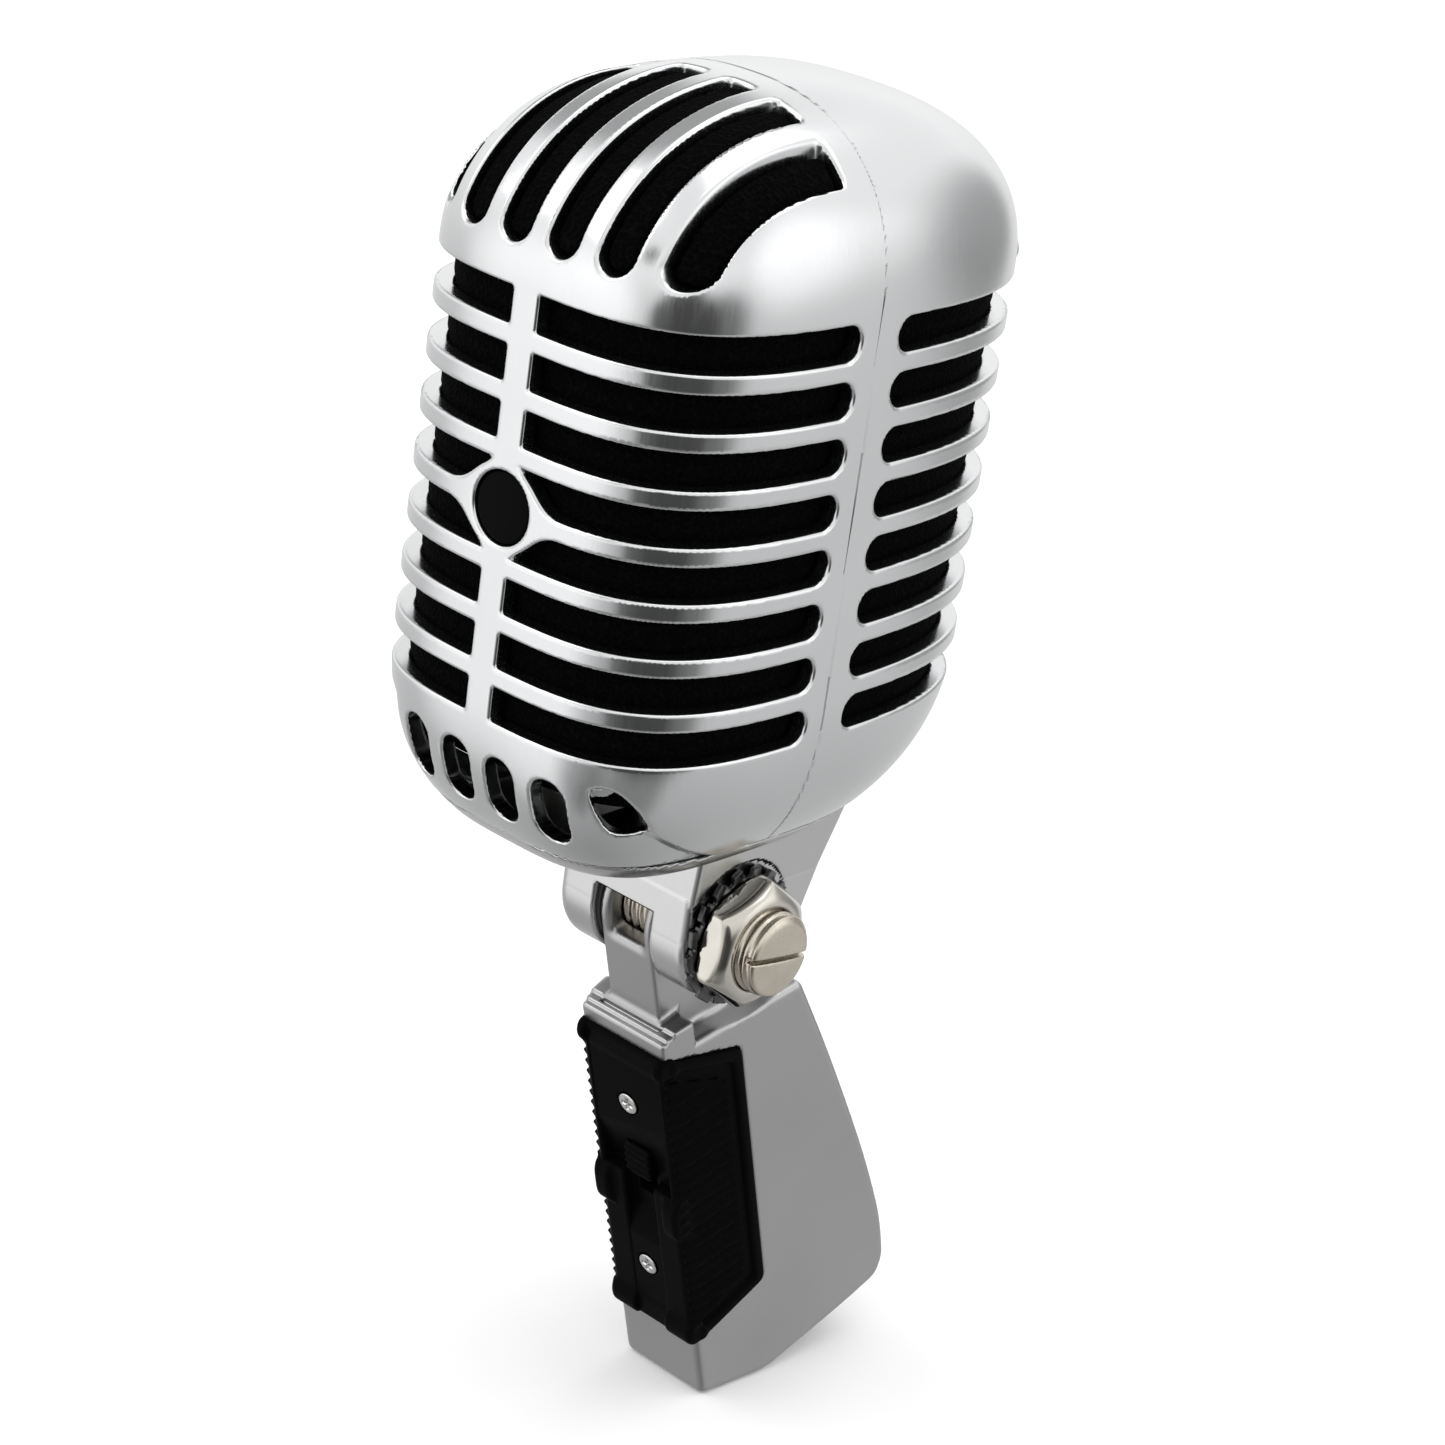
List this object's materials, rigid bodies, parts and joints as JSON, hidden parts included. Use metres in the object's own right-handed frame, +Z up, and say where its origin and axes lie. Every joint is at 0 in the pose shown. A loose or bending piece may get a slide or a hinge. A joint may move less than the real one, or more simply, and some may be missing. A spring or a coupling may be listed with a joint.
{
  "type": "microphone",
  "caption": "Vintage-style desktop microphone: slotted chrome head with foam liner on a tilting forked swivel, and a handle with ribbed black grip, slide switch, stand thread and audio inlet.",
  "frame": {"origin": "centre of the stand thread's mouth, on the level front part of the handle's bottom", "axes": "+Z up along the stand thread, the head's front faces -Y, +X is the side with the swivel nut"},
  "size_m": [0.0546, 0.0912, 0.1968],
  "materials": {
    "satin_chrome": "die-cast, satin chrome plated",
    "bright_chrome": "polished chrome plate",
    "bright_steel": "plated steel",
    "nickel": "turned, warm nickel plate",
    "badge_black": "gloss enamel, blank",
    "foam_black": "open-cell foam",
    "cartridge_shell": "plain",
    "diaphragm_film": "thin film",
    "copper": "enamelled copper wire",
    "magnet_dark": "bare magnet alloy",
    "rubber_black": "moulded",
    "frame_steel": "zinc plated",
    "lead_black": "sheathed lead",
    "washer_fibre": "pressed fibre",
    "grip_black": "moulded, fine texture",
    "switch_black": "moulded",
    "brass_plain": "turned",
    "insulator_black": "moulded",
    "pin_silver": "silver plated"
  },
  "bodies": {
    "handle": {"handle_casting": "satin_chrome", "grip_plate": "grip_black", "grip_screws": "bright_steel", "switch_body": "grip_black", "switch_tags": "brass_plain", "inlet_shell": "bright_chrome", "inlet_insulator": "insulator_black", "inlet_pins": "pin_silver", "inlet_screw": "bright_steel", "stand_bush": "brass_plain", "handle_lead": "lead_black"},
    "head": {"front_grille": "satin_chrome", "rear_grille": "satin_chrome", "shell_screws": "bright_steel", "badge_disc": "badge_black", "front_foam": "foam_black", "rear_foam": "foam_black", "cartridge_case": "cartridge_shell", "cartridge_cap": "cartridge_shell", "diaphragm": "diaphragm_film", "voice_coil": "copper", "magnet_pole": "bright_steel", "magnet": "magnet_dark", "magnet_cup": "bright_steel", "shock_mount": "rubber_black", "cartridge_frame": "frame_steel", "transformer_core": "frame_steel", "transformer_coil": "copper", "transformer_clip": "frame_steel", "swivel_yoke": "satin_chrome", "frame_screws": "bright_steel", "yoke_screws": "bright_steel", "cartridge_lead": "lead_black", "head_lead": "lead_black", "pivot_bolt": "nickel", "star_washer": "bright_steel", "pivot_nut": "bright_chrome", "friction_washers": "washer_fibre"},
    "slider": {"switch_slider": "switch_black"}
  },
  "joints": [
    {"name": "head_tilt", "type": "hinge", "parent": "handle", "child": "head", "pos_m": [0, -0.021, 0.0821], "axis": [1, 0, 0], "range_deg": [-50, 50]},
    {"name": "switch_slide", "type": "slide", "parent": "handle", "child": "slider", "axis": [0, -0.309, 0.9511], "range_m": [-0.004, 0]}
  ]
}
